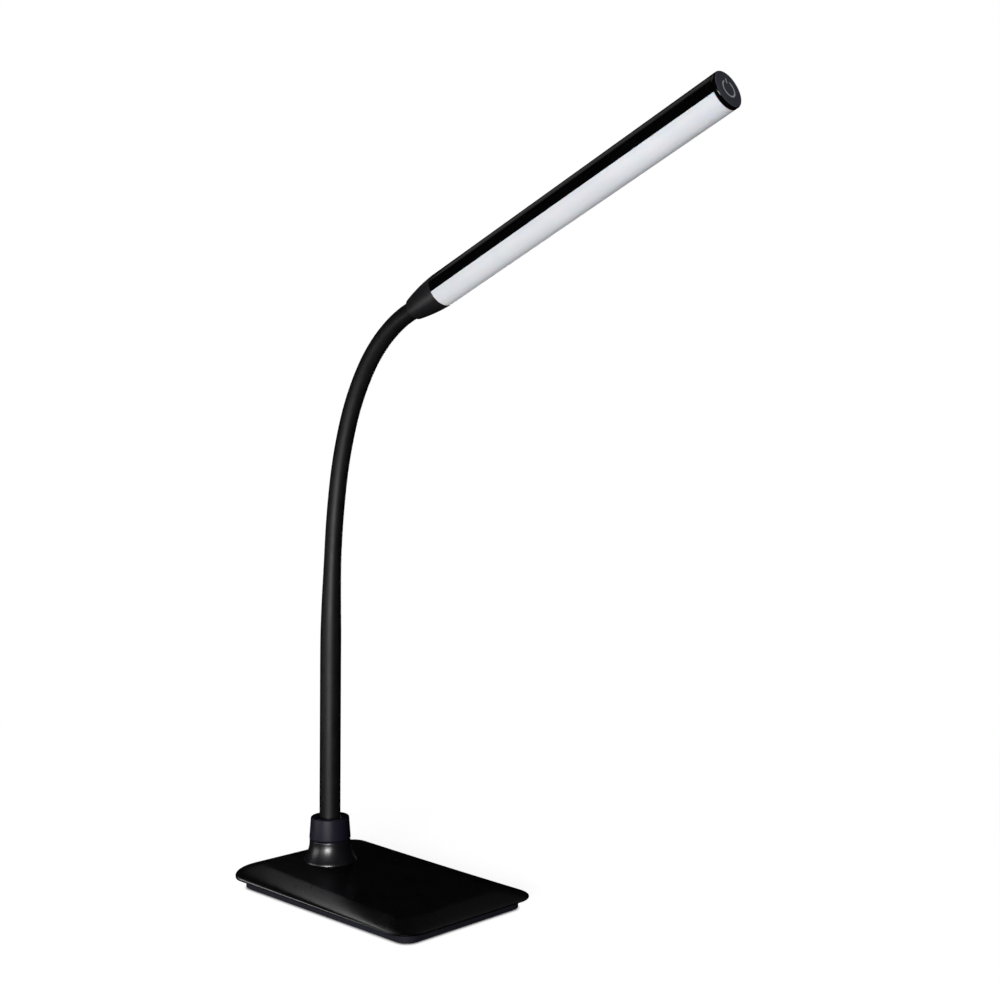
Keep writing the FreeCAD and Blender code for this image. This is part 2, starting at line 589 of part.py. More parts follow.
def neck_pieces():
    """The neck as arcs from the collar to the connector. Each is bent more than the one below."""
    pitch = (NECK_LENGTH - FIRST_JOINT - LAST_JOINT) / (JOINTS - 1)
    runs = [0.0] + [FIRST_JOINT + k * pitch for k in range(JOINTS)] + [NECK_LENGTH - NECK_TAIL]
    foot_lean = math.radians(NECK_LEAN)
    head_lean = math.radians(90 - HEAD_TILT)
    pieces = []
    point = V(NECK_X, 0, COLLAR_TOP)
    lean = 0.0
    for number, (run, after) in enumerate(zip(runs, runs[1:]), 1):
        wanted = foot_lean + (head_lean - foot_lean) * (after / runs[-1]) ** NECK_EASE
        bend = wanted - lean
        if bend < math.radians(LEAST_BEND):
            bend = 0.0
        piece = NeckPiece(number, point, lean, run, after - run, bend)
        pieces.append(piece)
        point = piece.end()
        lean += bend
    return pieces


def ball_radius(below, above):
    """Radius of the round end of a neck piece, about the joint's centre."""
    return max(below.radius, above.radius) + BALL_OVERSIZE


def trimmed(shape, pieces, index):
    """A bar along one neck piece, hollow-ended at its lower joint and round-ended at its upper joint."""
    piece = pieces[index]
    if index > 0:
        hollow = ball_radius(pieces[index - 1], piece) + BALL_GAP
        shape = shape.cut(Part.makeSphere(hollow, piece.start))
    if index < len(pieces) - 1:
        ball = ball_radius(piece, pieces[index + 1])
        way = piece.along(piece.lean + piece.bend)
        beyond = Part.makeCylinder(2 * ball, 2 * ball, piece.end(), way)
        shape = shape.cut(beyond.cut(Part.makeSphere(ball, piece.end())))
    return shape


def ball_reach(pieces, index):
    """Straight run past a neck piece's upper joint that its round end is cut from."""
    if index == len(pieces) - 1:
        return 0.0
    return ball_radius(pieces[index], pieces[index + 1]) + 1


def neck_sleeve(pieces, index):
    """Rubber cover of one neck piece."""
    piece = pieces[index]
    before = COLLAR_TOP - CUP_TOP - SLOT_PLAY if index == 0 else 0.0
    after = ball_reach(pieces, index) or NECK_TAIL + HEAD_CUP_START - SLOT_PLAY
    outer = piece.rod(piece.radius, before, after)
    inner = piece.rod(HOSE_RADIUS + SLOT_PLAY, before + 1, after + 1)
    return trimmed(outer.cut(inner), pieces, index)


def neck_hose(pieces, index):
    """Steel hose inside one neck piece, which holds the bend."""
    piece = pieces[index]
    before = COLLAR_TOP - CUP_FLOOR if index == 0 else 0.0
    after = ball_reach(pieces, index) or NECK_TAIL + HEAD_CUP_FLOOR
    outer = piece.rod(HOSE_RADIUS, before, after)
    inner = piece.rod(HOSE_BORE, before + 1, after + 1)
    return trimmed(outer.cut(inner), pieces, index)


def neck_lead(pieces, index):
    """Two-core lead inside one neck piece."""
    before = COLLAR_TOP - BOARD_TOP if index == 0 else 0.0
    after = ball_reach(pieces, index) or NECK_TAIL + CONNECTOR_LENGTH - SLOT_PLAY
    return trimmed(pieces[index].rod(LEAD_RADIUS, before, after), pieces, index)


def lying(radius, x0, x1):
    """A cylinder along the head's axis."""
    return Part.makeCylinder(radius, x1 - x0, V(x0, 0, 0), FORWARD)


def lying_ring(outer, inner, x0, x1):
    """A tube along the head's axis."""
    return lying(outer, x0, x1).cut(lying(inner, x0 - 1, x1 + 1))


def below_split(half_angle, x0, x1):
    """A wedge along the head's axis that opens downwards by an angle to each side."""
    reach = 2 * HEAD_RADIUS
    drop = reach * math.cos(math.radians(half_angle))
    side = reach * math.sin(math.radians(half_angle))
    corner_points = [V(x0, 0, 0), V(x0, side, -drop), V(x0, side, -reach), V(x0, -side, -reach),
                     V(x0, -side, -drop), V(x0, 0, 0)]
    return Part.Face(Part.makePolygon(corner_points)).extrude(V(x1 - x0, 0, 0))


def head_shell():
    """Black upper profile of the head, with a shelf and two rails for the light board."""
    start = CONNECTOR_LENGTH
    wall = lying_ring(HEAD_RADIUS, BORE_RADIUS, start, TUBE_END)
    wall = wall.cut(below_split(DIFFUSER_HALF_ANGLE, start - 1, TUBE_END + 1))
    inside = lying(BORE_RADIUS + SHELL_WALL / 2, start, SHELF_END)
    shelf = block(start, SHELF_END, -HEAD_RADIUS, HEAD_RADIUS, SHELF_BOTTOM, SHELF_BOTTOM + SHELF_THICKNESS)
    rails = [block(start, SHELF_END, min(side * RAIL_REACH, side * HEAD_RADIUS),
                   max(side * RAIL_REACH, side * HEAD_RADIUS), RAIL_BOTTOM, RAIL_TOP) for side in (-1, 1)]
    return joined(wall, *[piece.common(inside) for piece in [shelf] + rails])


def diffuser():
    """Opal lower profile of the head."""
    start = CONNECTOR_LENGTH + DIFFUSER_GAP
    end = TUBE_END - DIFFUSER_GAP
    wall = lying_ring(HEAD_RADIUS, HEAD_RADIUS - DIFFUSER_WALL, start, end)
    lean_in = math.degrees(DIFFUSER_GAP / HEAD_RADIUS)
    return wall.common(below_split(DIFFUSER_HALF_ANGLE - lean_in, start, end))


def light_board():
    """Long circuit board in the shell's slot, lights downwards."""
    return block(CONNECTOR_LENGTH, SHELF_END, -LIGHT_BOARD_WIDTH / 2, LIGHT_BOARD_WIDTH / 2,
                 LIGHT_BOARD_BOTTOM, LIGHT_BOARD_TOP)


def light_chips():
    """Row of LEDs on the underside of the light board."""
    pitch = (SHELF_END - CONNECTOR_LENGTH) / LED_COUNT
    chips = []
    for k in range(LED_COUNT):
        middle = CONNECTOR_LENGTH + pitch * (k + 0.5)
        chips.append(block(middle - LED_LENGTH / 2, middle + LED_LENGTH / 2, -LED_WIDTH / 2, LED_WIDTH / 2,
                           LIGHT_BOARD_BOTTOM - LED_HEIGHT, LIGHT_BOARD_BOTTOM))
    return Part.makeCompound(chips)


def spigot(x0, x1):
    """Ring inside the head's tube, open at the shelf and the rails."""
    outer = BORE_RADIUS - SPIGOT_PLAY
    band = lying_ring(outer, outer - SPIGOT_WALL, x0, x1)
    return band.cut(block(x0 - 1, x1 + 1, -HEAD_RADIUS, HEAD_RADIUS, RAIL_BOTTOM - SLOT_PLAY,
                          SHELF_BOTTOM + SHELF_THICKNESS + SLOT_PLAY))


def head_connector():
    """Tapered fitting between the neck and the head's tube."""
    swell = Part.Arc(V(0, 0, CONNECTOR_MOUTH_RADIUS), V(CONNECTOR_LENGTH / 2, 0, CONNECTOR_WAIST_RADIUS),
                     V(CONNECTOR_LENGTH, 0, HEAD_RADIUS)).toShape()
    rest = Part.makePolygon([V(CONNECTOR_LENGTH, 0, HEAD_RADIUS), V(CONNECTOR_LENGTH, 0, 0), ORIGIN,
                             V(0, 0, CONNECTOR_MOUTH_RADIUS)])
    form = Part.Face(Part.Wire([swell] + rest.Edges)).revolve(ORIGIN, FORWARD, 360)
    lip = [e for e in form.Edges if abs(e.BoundBox.XMin) < 1e-4 and abs(e.BoundBox.XMax) < 1e-4]
    form = form.makeFillet(CONNECTOR_LIP, lip)
    cup_bore = HOSE_RADIUS + HEAD_CUP_WALL + LEG_PLAY
    cuts = [lying(max(cup_bore, SLEEVE_HEAD_RADIUS + LEG_PLAY), -1, HEAD_WEB_START),
            lying(HEAD_TAIL_RADIUS + SLIP, 0, CONNECTOR_LENGTH),
            lying(CONNECTOR_ROOM_RADIUS, HEAD_WEB_END, CONNECTOR_LENGTH + 1)]
    collar = spigot(CONNECTOR_LENGTH - 2, CONNECTOR_LENGTH + SPIGOT_LENGTH)
    return joined(form.cut(cuts), collar.cut(lying_ring(2 * HEAD_RADIUS, CONNECTOR_ROOM_RADIUS,
                                                        0, CONNECTOR_LENGTH)), collar)


def upper_ferrule():
    """Steel end fitting in the connector: cup for the hose and threaded tail through the web."""
    cup = lying(HOSE_RADIUS + HEAD_CUP_WALL, HEAD_CUP_START, HEAD_WEB_START)
    body = joined(cup, lying(HEAD_TAIL_RADIUS, HEAD_WEB_START, HEAD_TAIL_END))
    return body.cut([lying(HOSE_RADIUS + SLIP, HEAD_CUP_START - 1, HEAD_CUP_FLOOR),
                     lying(HOSE_BORE, HEAD_CUP_START, HEAD_TAIL_END + 1)])


def head_washer():
    """Washer behind the connector's web."""
    return lying_ring(HEAD_WASHER_RADIUS, HEAD_TAIL_RADIUS + SLIP, HEAD_WEB_END, NUT_START)


def head_nut():
    """Nut that holds the upper end fitting in the connector."""
    nut = hexagon(HEAD_NUT_FLATS, NUT_START, NUT_START + HEAD_NUT_THICKNESS)
    nut.rotate(ORIGIN, LEFT, 90)
    return nut.cut(lying(HEAD_TAIL_RADIUS + SLIP, NUT_START - 1, HEAD_TAIL_END))


def symbol_form():
    """Power symbol: a ring open at the top with a bar in the opening."""
    x0 = HEAD_LENGTH - SYMBOL_DEPTH
    band = lying_ring(SYMBOL_RADIUS + SYMBOL_LINE / 2, SYMBOL_RADIUS - SYMBOL_LINE / 2, x0, HEAD_LENGTH)
    wedge = below_split(SYMBOL_GAP, x0 - 1, HEAD_LENGTH + 1)
    wedge.rotate(ORIGIN, FORWARD, 180)
    bar = block(x0, HEAD_LENGTH, -SYMBOL_LINE / 2, SYMBOL_LINE / 2, *SYMBOL_BAR)
    return Part.makeCompound([band.cut(wedge), bar])


def end_cap():
    """Cap on the head's tip, with the touch face and its symbol."""
    disc = lying(HEAD_RADIUS, TUBE_END, HEAD_LENGTH)
    rim = [e for e in disc.Edges if abs(e.BoundBox.XMin - HEAD_LENGTH) < 1e-4]
    disc = disc.makeFillet(CAP_EDGE, rim)
    room = lying(CAP_ROOM_RADIUS, TUBE_END - 1, TUBE_END + SLOT_PLAY + TOUCH_BOARD_THICKNESS)
    cap = joined(disc, spigot(TUBE_END - SPIGOT_LENGTH + 2 * SLOT_PLAY, TUBE_END + CAP_LENGTH / 4))
    return cap.cut(symbol_form()).cut(room)


def touch_board():
    """Round sensor board behind the touch face."""
    start = TUBE_END + SLOT_PLAY
    return lying(CAP_ROOM_RADIUS - SLOT_PLAY, start, start + TOUCH_BOARD_THICKNESS)


def touch_chip():
    """Sensor chip on the back of the round board."""
    depth, width, height = TOUCH_CHIP
    start = TUBE_END + SLOT_PLAY
    return block(start - depth, start, -width / 2, width / 2, TOUCH_CHIP_LIFT - height / 2,
                 TOUCH_CHIP_LIFT + height / 2)


def touch_ribbon():
    """Flat lead from the light board to the sensor board."""
    return block(SHELF_END, TUBE_END + SLOT_PLAY, -RIBBON_WIDTH / 2, RIBBON_WIDTH / 2,
                 LIGHT_BOARD_BOTTOM, LIGHT_BOARD_BOTTOM + RIBBON_THICKNESS)


def on_neck(shape, mouth):
    """A head part moved from the head's own axes to the end of the neck."""
    shape.rotate(ORIGIN, LEFT, -HEAD_TILT)
    shape.translate(mouth)
    return shape


def save(name, shape):
    """Write one node, and say if it isn't sound."""
    if not shape.isValid() or min(solid.Volume for solid in shape.Solids) <= 0:
        print("unsound:", name)
    shape.exportStep("parts/" + name + ".step")


def main():
    os.makedirs("parts", exist_ok=True)
    for make in (base_cover, base_plinth, foot_pad, base_screws, ballast_plate, ballast_screws, cord_grommet,
                 cord_clamp, clamp_screws, power_board, board_screws, board_parts, neck_collar, lower_ferrule,
                 ferrule_washer, ferrule_nut):
        save(make.__name__, make())
    pieces = neck_pieces()
    for index, piece in enumerate(pieces):
        save("neck_sleeve_%d" % piece.number, neck_sleeve(pieces, index))
        save("neck_hose_%d" % piece.number, neck_hose(pieces, index))
    save("base_lead", neck_lead(pieces, 0))
    for index in range(1, JOINTS):
        save("neck_lead_%d" % pieces[index].number, neck_lead(pieces, index))
    save("head_lead", neck_lead(pieces, JOINTS))
    last = pieces[-1]
    mouth = last.end() + last.along(last.lean + last.bend) * NECK_TAIL
    for make in (head_connector, upper_ferrule, head_washer, head_nut, head_shell, diffuser, light_board,
                 light_chips, end_cap, touch_board, touch_chip, touch_ribbon):
        save(make.__name__, on_neck(make(), mouth))
    save("power_symbol", on_neck(symbol_form(), mouth))
    for number, piece in enumerate(pieces[1:], 1):
        place = [round(v, 4) for v in piece.start]
        print("joint", number, *place, "lean", round(math.degrees(piece.lean), 4))
    print("mouth", *[round(v, 4) for v in mouth])


main()
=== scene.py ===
import json
import math

import bpy
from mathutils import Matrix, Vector

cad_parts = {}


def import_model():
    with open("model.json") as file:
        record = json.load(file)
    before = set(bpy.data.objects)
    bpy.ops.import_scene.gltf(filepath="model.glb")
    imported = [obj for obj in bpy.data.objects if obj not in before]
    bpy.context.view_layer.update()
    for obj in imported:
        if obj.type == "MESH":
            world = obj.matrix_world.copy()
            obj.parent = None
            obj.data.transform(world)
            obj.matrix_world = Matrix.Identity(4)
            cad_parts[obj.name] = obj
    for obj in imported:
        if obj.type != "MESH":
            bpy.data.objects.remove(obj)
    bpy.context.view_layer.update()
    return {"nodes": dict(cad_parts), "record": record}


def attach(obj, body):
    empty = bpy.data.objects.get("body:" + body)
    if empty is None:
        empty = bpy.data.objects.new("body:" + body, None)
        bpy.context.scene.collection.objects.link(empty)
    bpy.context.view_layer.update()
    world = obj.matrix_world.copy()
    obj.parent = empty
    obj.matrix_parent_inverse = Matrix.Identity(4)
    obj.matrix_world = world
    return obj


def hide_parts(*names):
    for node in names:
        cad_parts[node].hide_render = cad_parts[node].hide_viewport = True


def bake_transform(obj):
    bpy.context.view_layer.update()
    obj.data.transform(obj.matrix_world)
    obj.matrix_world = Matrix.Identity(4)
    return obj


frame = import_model()
nodes = frame["nodes"]
MM = 0.001

# Sizes of the CAD model that the looks follow, in millimetres and degrees
SEAM = 6.35
RIM_TOP = 7.0
HALF_LENGTH = 81.25
HALF_WIDTH = 51.75
RIM_CORNER = 14.55
BACK_TOP = 15.1
FRONT_TOP = 9.1
NECK_X = -45.9
BOSS_TOP = 26.7
COLLAR_TOP = 40.2
NECK_LENGTH = 332.2
NECK_TAIL = 6.0
NECK_EASE = 4.25
NECK_LEAN = 0.58
HEAD_TILT = 20.9
FIRST_JOINT = 18.0
LAST_JOINT = 16.0
JOINTS = 9
LEAST_BEND = 0.5
SLEEVE_FOOT = 6.4
SLEEVE_HEAD = 5.3
TAPER_START = 105.0
TAPER_END = 165.0
HEAD_RADIUS = 9.72
TUBE_END = 226.8
HEAD_LENGTH = 229.55


# Materials: each is a small node graph, in the object's own space

NOISE_RANGE = (0.3, 0.7)
TONE_STOPS = (0.35, 0.65)

# Scale and detail of the noises
PLASTIC_TONE = (60, 3)
PLASTIC_SMEAR = (140, 6)
STEEL_TONE = (300, 4)
STEEL_SMEAR = (900, 5)
OPAL_TONE = (45, 3)
OPAL_SMEAR = (400, 4)
FINE_GRAIN = 2500
GRAIN_DETAIL = 2

OPAL_WEIGHT = 0.25
OPAL_DEPTH = 0.003
OPAL_SHINE = 0.3
FOAM_CELLS = 1600
FOAM_ROUGHNESS = 0.9
FOAM_DARK = (0.012, 0.012, 0.012)
FOAM_LIGHT = (0.035, 0.035, 0.036)
FOAM_HEIGHT = 0.15


def new_material(name):
    """An empty node material with its principled shader."""
    mat = bpy.data.materials.new(name)
    mat.use_nodes = True
    return mat, mat.node_tree, mat.node_tree.nodes["Principled BSDF"]


def object_noise(tree, scale, detail):
    """Noise in the object's own space."""
    place = tree.nodes.new("ShaderNodeTexCoord")
    noise = tree.nodes.new("ShaderNodeTexNoise")
    noise.inputs["Scale"].default_value = scale
    noise.inputs["Detail"].default_value = detail
    tree.links.new(place.outputs["Object"], noise.inputs["Vector"])
    return noise.outputs["Fac"]


def spread(tree, value, low, high):
    """A noise value mapped to a range."""
    node = tree.nodes.new("ShaderNodeMapRange")
    node.inputs["From Min"].default_value = NOISE_RANGE[0]
    node.inputs["From Max"].default_value = NOISE_RANGE[1]
    node.inputs["To Min"].default_value = low
    node.inputs["To Max"].default_value = high
    tree.links.new(value, node.inputs["Value"])
    return node.outputs["Result"]


def two_tones(tree, value, dark, light):
    """A colour that wanders between two tones."""
    ramp = tree.nodes.new("ShaderNodeValToRGB")
    for element, stop, tone in zip(ramp.color_ramp.elements, TONE_STOPS, (dark, light)):
        element.position = stop
        element.color = (*tone, 1)
    tree.links.new(value, ramp.inputs["Fac"])
    return ramp.outputs["Color"]


def relief(tree, shader, value, height):
    """Bump on a shader from a value; the height is in millimetres."""
    bump = tree.nodes.new("ShaderNodeBump")
    bump.inputs["Distance"].default_value = height * MM
    tree.links.new(value, bump.inputs["Height"])
    tree.links.new(bump.outputs["Normal"], shader.inputs["Normal"])


def coat(name, dark, light, rough, tone, smear, grain, height):
    """A material with two close tones, uneven roughness and a fine grain.

    tone and smear are the scale and detail of their noises, grain is the scale of the bump's.
    """
    mat, tree, shader = new_material(name)
    colour = two_tones(tree, object_noise(tree, *tone), dark, light)
    tree.links.new(colour, shader.inputs["Base Color"])
    tree.links.new(spread(tree, object_noise(tree, *smear), *rough), shader.inputs["Roughness"])
    relief(tree, shader, object_noise(tree, grain, GRAIN_DETAIL), height)
    return mat, shader


def plastic(name, dark, light, rough, grain, height, shine=0.5):
    """Moulded plastic; the grain's size and height are in millimetres."""
    mat, shader = coat(name, dark, light, rough, PLASTIC_TONE, PLASTIC_SMEAR,
                       1 / (grain * MM), height)
    shader.inputs["Specular IOR Level"].default_value = shine
    return mat


def steel(name):
    """Machined steel, unevenly polished."""
    mat, shader = coat(name, dark=(0.38, 0.38, 0.39), light=(0.52, 0.52, 0.53), rough=(0.25, 0.42),
                       tone=STEEL_TONE, smear=STEEL_SMEAR, grain=FINE_GRAIN, height=0.01)
    shader.inputs["Metallic"].default_value = 1.0
    return mat


def opal(name):
    """Opal diffuser plastic: light passes in a little way, faint clouding."""
    mat, shader = coat(name, dark=(0.50, 0.51, 0.54), light=(0.525, 0.535, 0.56),
                       rough=(0.48, 0.58), tone=OPAL_TONE, smear=OPAL_SMEAR,
                       grain=FINE_GRAIN, height=0.004)
    shader.inputs["Subsurface Weight"].default_value = OPAL_WEIGHT
    shader.inputs["Subsurface Scale"].default_value = OPAL_DEPTH
    shader.inputs["Specular IOR Level"].default_value = OPAL_SHINE
    return mat


def foam(name):
    """Closed-cell foam of the foot pad."""
    mat, tree, shader = new_material(name)
    place = tree.nodes.new("ShaderNodeTexCoord")
    cells = tree.nodes.new("ShaderNodeTexVoronoi")
    cells.inputs["Scale"].default_value = FOAM_CELLS
    tree.links.new(place.outputs["Object"], cells.inputs["Vector"])
    colour = two_tones(tree, cells.outputs["Distance"], FOAM_DARK, FOAM_LIGHT)
    tree.links.new(colour, shader.inputs["Base Color"])
    shader.inputs["Roughness"].default_value = FOAM_ROUGHNESS
    relief(tree, shader, cells.outputs["Distance"], FOAM_HEIGHT)
    return mat


MATERIALS = {
    "cover": plastic("satin_cover", dark=(0.0030, 0.0030, 0.0038), light=(0.0048, 0.0048, 0.0060),
                     rough=(0.27, 0.33), grain=0.45, height=0.010, shine=0.38),
    "plinth": plastic("grained_black", dark=(0.014, 0.014, 0.020), light=(0.018, 0.018, 0.026),
                      rough=(0.50, 0.62), grain=0.35, height=0.03, shine=0.10),
    "collar": plastic("satin_collar", dark=(0.010, 0.009, 0.018), light=(0.014, 0.013, 0.023),
                      rough=(0.40, 0.46), grain=0.30, height=0.014, shine=0.17),
    "sleeve": plastic("matte_sleeve", dark=(0.004, 0.004, 0.0044), light=(0.007, 0.007, 0.0076),
                      rough=(0.44, 0.52), grain=0.28, height=0.03, shine=0.42),
    "connector": plastic("satin_black", dark=(0.0035, 0.0035, 0.0042),
                         light=(0.0050, 0.0050, 0.0060), rough=(0.40, 0.48), grain=0.35,
                         height=0.012, shine=0.8),
    "shell": plastic("gloss_shell", dark=(0.0012, 0.0012, 0.0015), light=(0.0018, 0.0018, 0.0022),
                     rough=(0.09, 0.13), grain=2.5, height=0.002, shine=0.35),
    "diffuser": opal("opal"),
    "cap": plastic("satin_cap", dark=(0.050, 0.051, 0.068), light=(0.062, 0.063, 0.081),
                   rough=(0.48, 0.58), grain=0.25, height=0.014, shine=0.15),
    "symbol": plastic("symbol_grey", dark=(0.50, 0.50, 0.52), light=(0.58, 0.58, 0.60),
                      rough=(0.40, 0.50), grain=0.30, height=0.004),
    "grommet": plastic("grommet_rubber", dark=(0.012, 0.012, 0.012), light=(0.020, 0.020, 0.020),
                       rough=(0.60, 0.80), grain=0.30, height=0.02),
    "pad": foam("foam_pad"),
    "steel": steel("turned_steel"),
    "black_plastic": plastic("inner_black", dark=(0.015, 0.015, 0.015), light=(0.03, 0.03, 0.03),
                             rough=(0.40, 0.60), grain=0.5, height=0.02),
    "board": plastic("green_board", dark=(0.015, 0.09, 0.045), light=(0.02, 0.13, 0.06),
                     rough=(0.30, 0.40), grain=1.0, height=0.01),
    "light_board": plastic("white_board", dark=(0.74, 0.74, 0.72), light=(0.80, 0.80, 0.78),
                           rough=(0.35, 0.45), grain=1.0, height=0.01),
    "lead": plastic("lead_jacket", dark=(0.50, 0.50, 0.48), light=(0.58, 0.58, 0.56),
                    rough=(0.40, 0.55), grain=0.6, height=0.01),
    "chips": plastic("phosphor", dark=(0.72, 0.62, 0.30), light=(0.80, 0.70, 0.36),
                     rough=(0.20, 0.30), grain=0.5, height=0.01),
}

slot_of = {s["node"]: s["material_slot"] for s in frame["record"]["subparts"]}
for name, node in nodes.items():
    node.data.materials.clear()
    node.data.materials.append(MATERIALS[slot_of[name]])


# Mesh helpers

TURNED_COUNT = 96


def piece(name, verts, faces, material):
    """A smooth mesh object from points in millimetres."""
    mesh = bpy.data.meshes.new(name)
    mesh.from_pydata([[c * MM for c in v] for v in verts], [], faces)
    mesh.validate()
    mesh.polygons.foreach_set("use_smooth", [True] * len(mesh.polygons))
    obj = bpy.data.objects.new(name, mesh)
    bpy.context.scene.collection.objects.link(obj)
    obj.data.materials.append(MATERIALS[material])
    return obj


def skin(name, rings, material, end=False):
    """A surface over rings that each hold the same number of points; end closes the last ring."""
    count = len(rings[0])
    verts = [p for r in rings for p in r]
    faces = []
    for k in range(len(rings) - 1):
        a = k * count
        b = a + count
        for i in range(count):
            j = (i + 1) % count
            faces.append((a + i, a + j, b + j, b + i))
    if end:
        faces.append(tuple(range(len(verts) - count, len(verts))))
    return piece(name, verts, faces, material)


def turned(profile, place):
    """Rings of a shape turned about an axis, from pairs of distance along it and radius."""
    angles = [2 * math.pi * k / TURNED_COUNT for k in range(TURNED_COUNT)]
    return [[place(along, radius * math.cos(a), radius * math.sin(a)) for a in angles]
            for along, radius in profile]


def beside(along, radius, steps):
    """A stretch of a turned shape's profile, given as steps from one distance and radius."""
    return [(along + a, radius + r) for a, r in steps]


# Neck line: the same arcs as in the CAD model, and the rubber sleeve along it

SLEEVE_COUNT = 72
SLEEVE_STEP = 0.75
SLEEVE_START = -7.0
SLEEVE_PAST = 1.5
FOOT_STUB = 3.0
HEAD_STUB = 2.0


def sleeve_radius(run):
    """Radius of the sleeve at a distance along the neck."""
    share = min(1.0, max(0.0, (run - TAPER_START) / (TAPER_END - TAPER_START)))
    share = share * share * (3 - 2 * share)
    return SLEEVE_FOOT + (SLEEVE_HEAD - SLEEVE_FOOT) * share


def neck_arcs():
    """Start point, lean, start run, length and bend of each arc."""
    pitch = (NECK_LENGTH - FIRST_JOINT - LAST_JOINT) / (JOINTS - 1)
    runs = [0.0] + [FIRST_JOINT + k * pitch for k in range(JOINTS)] + [NECK_LENGTH - NECK_TAIL]
    foot_lean = math.radians(NECK_LEAN)
    head_lean = math.radians(90 - HEAD_TILT)
    point = Vector((NECK_X, 0, COLLAR_TOP))
    lean = 0.0
    arcs = []
    for run, after in zip(runs, runs[1:]):
        wanted = foot_lean + (head_lean - foot_lean) * (after / runs[-1]) ** NECK_EASE
        bend = wanted - lean
        if bend < math.radians(LEAST_BEND):
            bend = 0.0
        arcs.append((point, lean, run, after - run, bend))
        point = on_arc(arcs[-1], after - run)[0]
        lean += bend
    arcs.append((point, lean, runs[-1], NECK_TAIL, 0.0))
    return arcs


def on_arc(arc, distance):
    """Point and lean at a distance along one arc."""
    point, lean, _, length, bend = arc
    if bend == 0:
        return point + Vector((math.sin(lean), 0, math.cos(lean))) * distance, lean
    radius = length / bend
    there = lean + bend * distance / length
    step = Vector((math.cos(lean) - math.cos(there), 0, math.sin(there) - math.sin(lean)))
    return point + step * radius, there


ARCS = neck_arcs()
MOUTH, HEAD_LEAN = on_arc(ARCS[-1], NECK_TAIL)


def on_neck(run):
    """Point and lean at a distance along the whole neck, which runs on straight past both ends."""
    arc = ARCS[0]
    for other in ARCS:
        if other[2] <= run:
            arc = other
    return on_arc(arc, run - arc[2])


def sleeve_ring(run):
    """Ring of the sleeve at a distance along the neck."""
    point, lean = on_neck(run)
    radius = sleeve_radius(run)
    across = Vector((math.cos(lean), 0, -math.sin(lean)))
    ring = []
    for k in range(SLEEVE_COUNT):
        turn = 2 * math.pi * k / SLEEVE_COUNT
        side = Vector((0, radius * math.sin(turn), 0))
        ring.append(point + across * (radius * math.cos(turn)) + side)
    return ring


def sleeve_part(name, start, end):
    """A stretch of the rubber sleeve, outside only, from one run to another."""
    count = max(2, round((end - start) / SLEEVE_STEP))
    runs = [start + (end - start) * k / count for k in range(count + 1)]
    return skin(name, [sleeve_ring(run) for run in runs], "sleeve")


def neck_sleeve():
    """The sleeve: one stretch per joint, each following the neck's curve through that joint, and a
    rigid stub at either end.
    """
    middles = [(arc[2] + other[2]) / 2 for arc, other in zip(ARCS[1:], ARCS[2:-1])]
    starts = [FOOT_STUB] + middles
    ends = middles + [NECK_LENGTH - HEAD_STUB]
    stub = sleeve_part("sleeve_foot", SLEEVE_START, starts[0])
    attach(stub, "base")
    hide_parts("neck_sleeve_1")
    for k, (start, end) in enumerate(zip(starts, ends)):
        part = sleeve_part("sleeve_bend_%d" % (k + 1), start, end)
        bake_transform(part)
        if 0 < k < JOINTS:
            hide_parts("neck_sleeve_%d" % (k + 1))
    tip = sleeve_part("sleeve_tip", ends[-1], NECK_LENGTH + SLEEVE_PAST)
    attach(tip, "head")
    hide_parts("neck_sleeve_10")


neck_sleeve()


# Base: cover with its boss, and the collar on the boss

# Each shoulder's width, the power of its curve, and the share of its rise that eases into the top
BACK_SHOULDER = (13.0, 2.5, 0.06)
FRONT_SHOULDER = (19.0, 1.5, 0.12)
SIDE_SHOULDER = (14.3, 2.0, 0.05)
SHOULDER_STEPS = 32
TOP_CORNER = 7.0
CORNER_STEPS = 12
SIDE_SPANS = 20

# The top's rings, as shares of its size
TOP_RINGS = (0.985, 0.94, 0.86, 0.74, 0.60, 0.46, 0.32, 0.18, 0.05)

# Lip under the rim: distance in from the cover's edge, and height over the seam
LIP = ((8.3, 0.0), (0.55, 0.0), (0.25, 0.07), (0.06, 0.25), (0.0, 0.45))

BOSS_FOOT_RADIUS = 16.3
BOSS_WAIST_RADIUS = 13.3
BOSS_RADIUS = 12.5
BOSS_MOUTH = 9.0
BOSS_SUNK = 1.1
FLARE_END = 0.6
FLARE_STEPS = 14
COLLAR_FOOT_RADIUS = 12.7
COLLAR_RADIUS = 11.7
COLLAR_BORE = 8.9
COLLAR_LIFT = 0.05

# Rounded edges: steps in height and in radius
BOSS_EDGE = ((-0.2, -0.12), (0.0, -0.5))
COLLAR_FOOT_EDGE = ((COLLAR_LIFT, -0.7), (0.3, -0.25), (0.6, -0.06), (1.2, -0.1))
COLLAR_TOP_EDGE = ((-0.8, 0.05), (-0.35, -0.1), (-0.08, -0.4), (0.0, -0.9))
COLLAR_MOUTH_EDGE = ((0.0, 0.6), (-0.12, 0.3), (-0.5, 0.16), (-2.2, 0.16))


def cover_top(x):
    """Height of the cover's sloping top at a place along the base."""
    share = (x + HALF_LENGTH) / (2 * HALF_LENGTH)
    return BACK_TOP + (FRONT_TOP - BACK_TOP) * share


